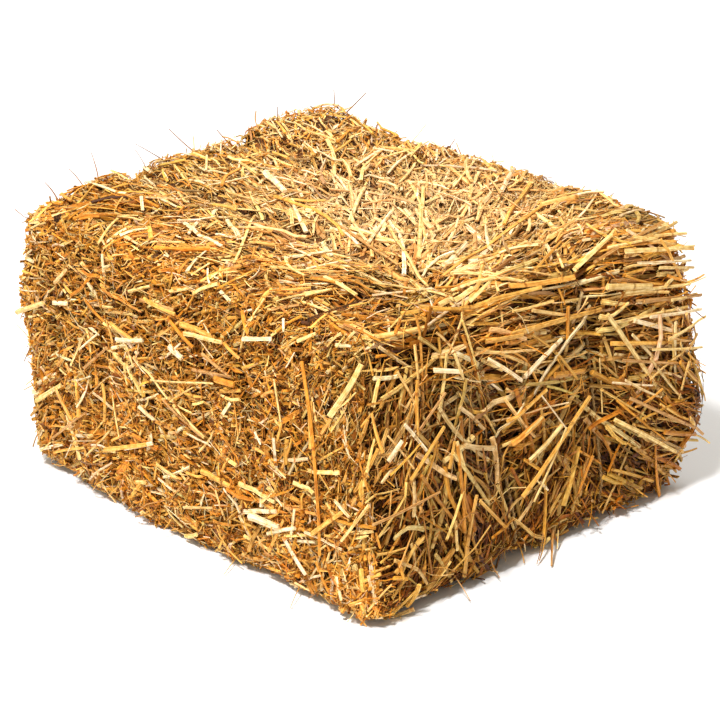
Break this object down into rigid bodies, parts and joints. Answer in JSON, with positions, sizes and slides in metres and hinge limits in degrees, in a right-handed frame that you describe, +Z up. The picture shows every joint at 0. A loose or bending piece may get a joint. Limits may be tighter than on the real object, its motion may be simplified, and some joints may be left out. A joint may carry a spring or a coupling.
{
  "type": "square straw bale",
  "caption": "Rectangular bale of pressed cereal straw: flakes stacked along its length and held by knotted twines, with ragged straw ends.",
  "frame": {"origin": "under the middle of the bale's box, on the surface that it lies on", "axes": "+X along the length towards the end that shows its long stalks, -Y towards the cut side, +Z up"},
  "size_m": [0.5736, 0.4888, 0.3105],
  "materials": {
    "straw": "dry cereal straw, golden with bleached and brown stalks, slightly glossy",
    "twine": "sisal baling twine, matt and hairy"
  },
  "bodies": {
    "root": {"flake_1": "straw", "flake_2": "straw", "flake_3": "straw", "flake_4": "straw", "flake_5": "straw", "flake_6": "straw", "flake_7": "straw", "twine_1": "twine", "twine_2": "twine"}
  },
  "joints": []
}
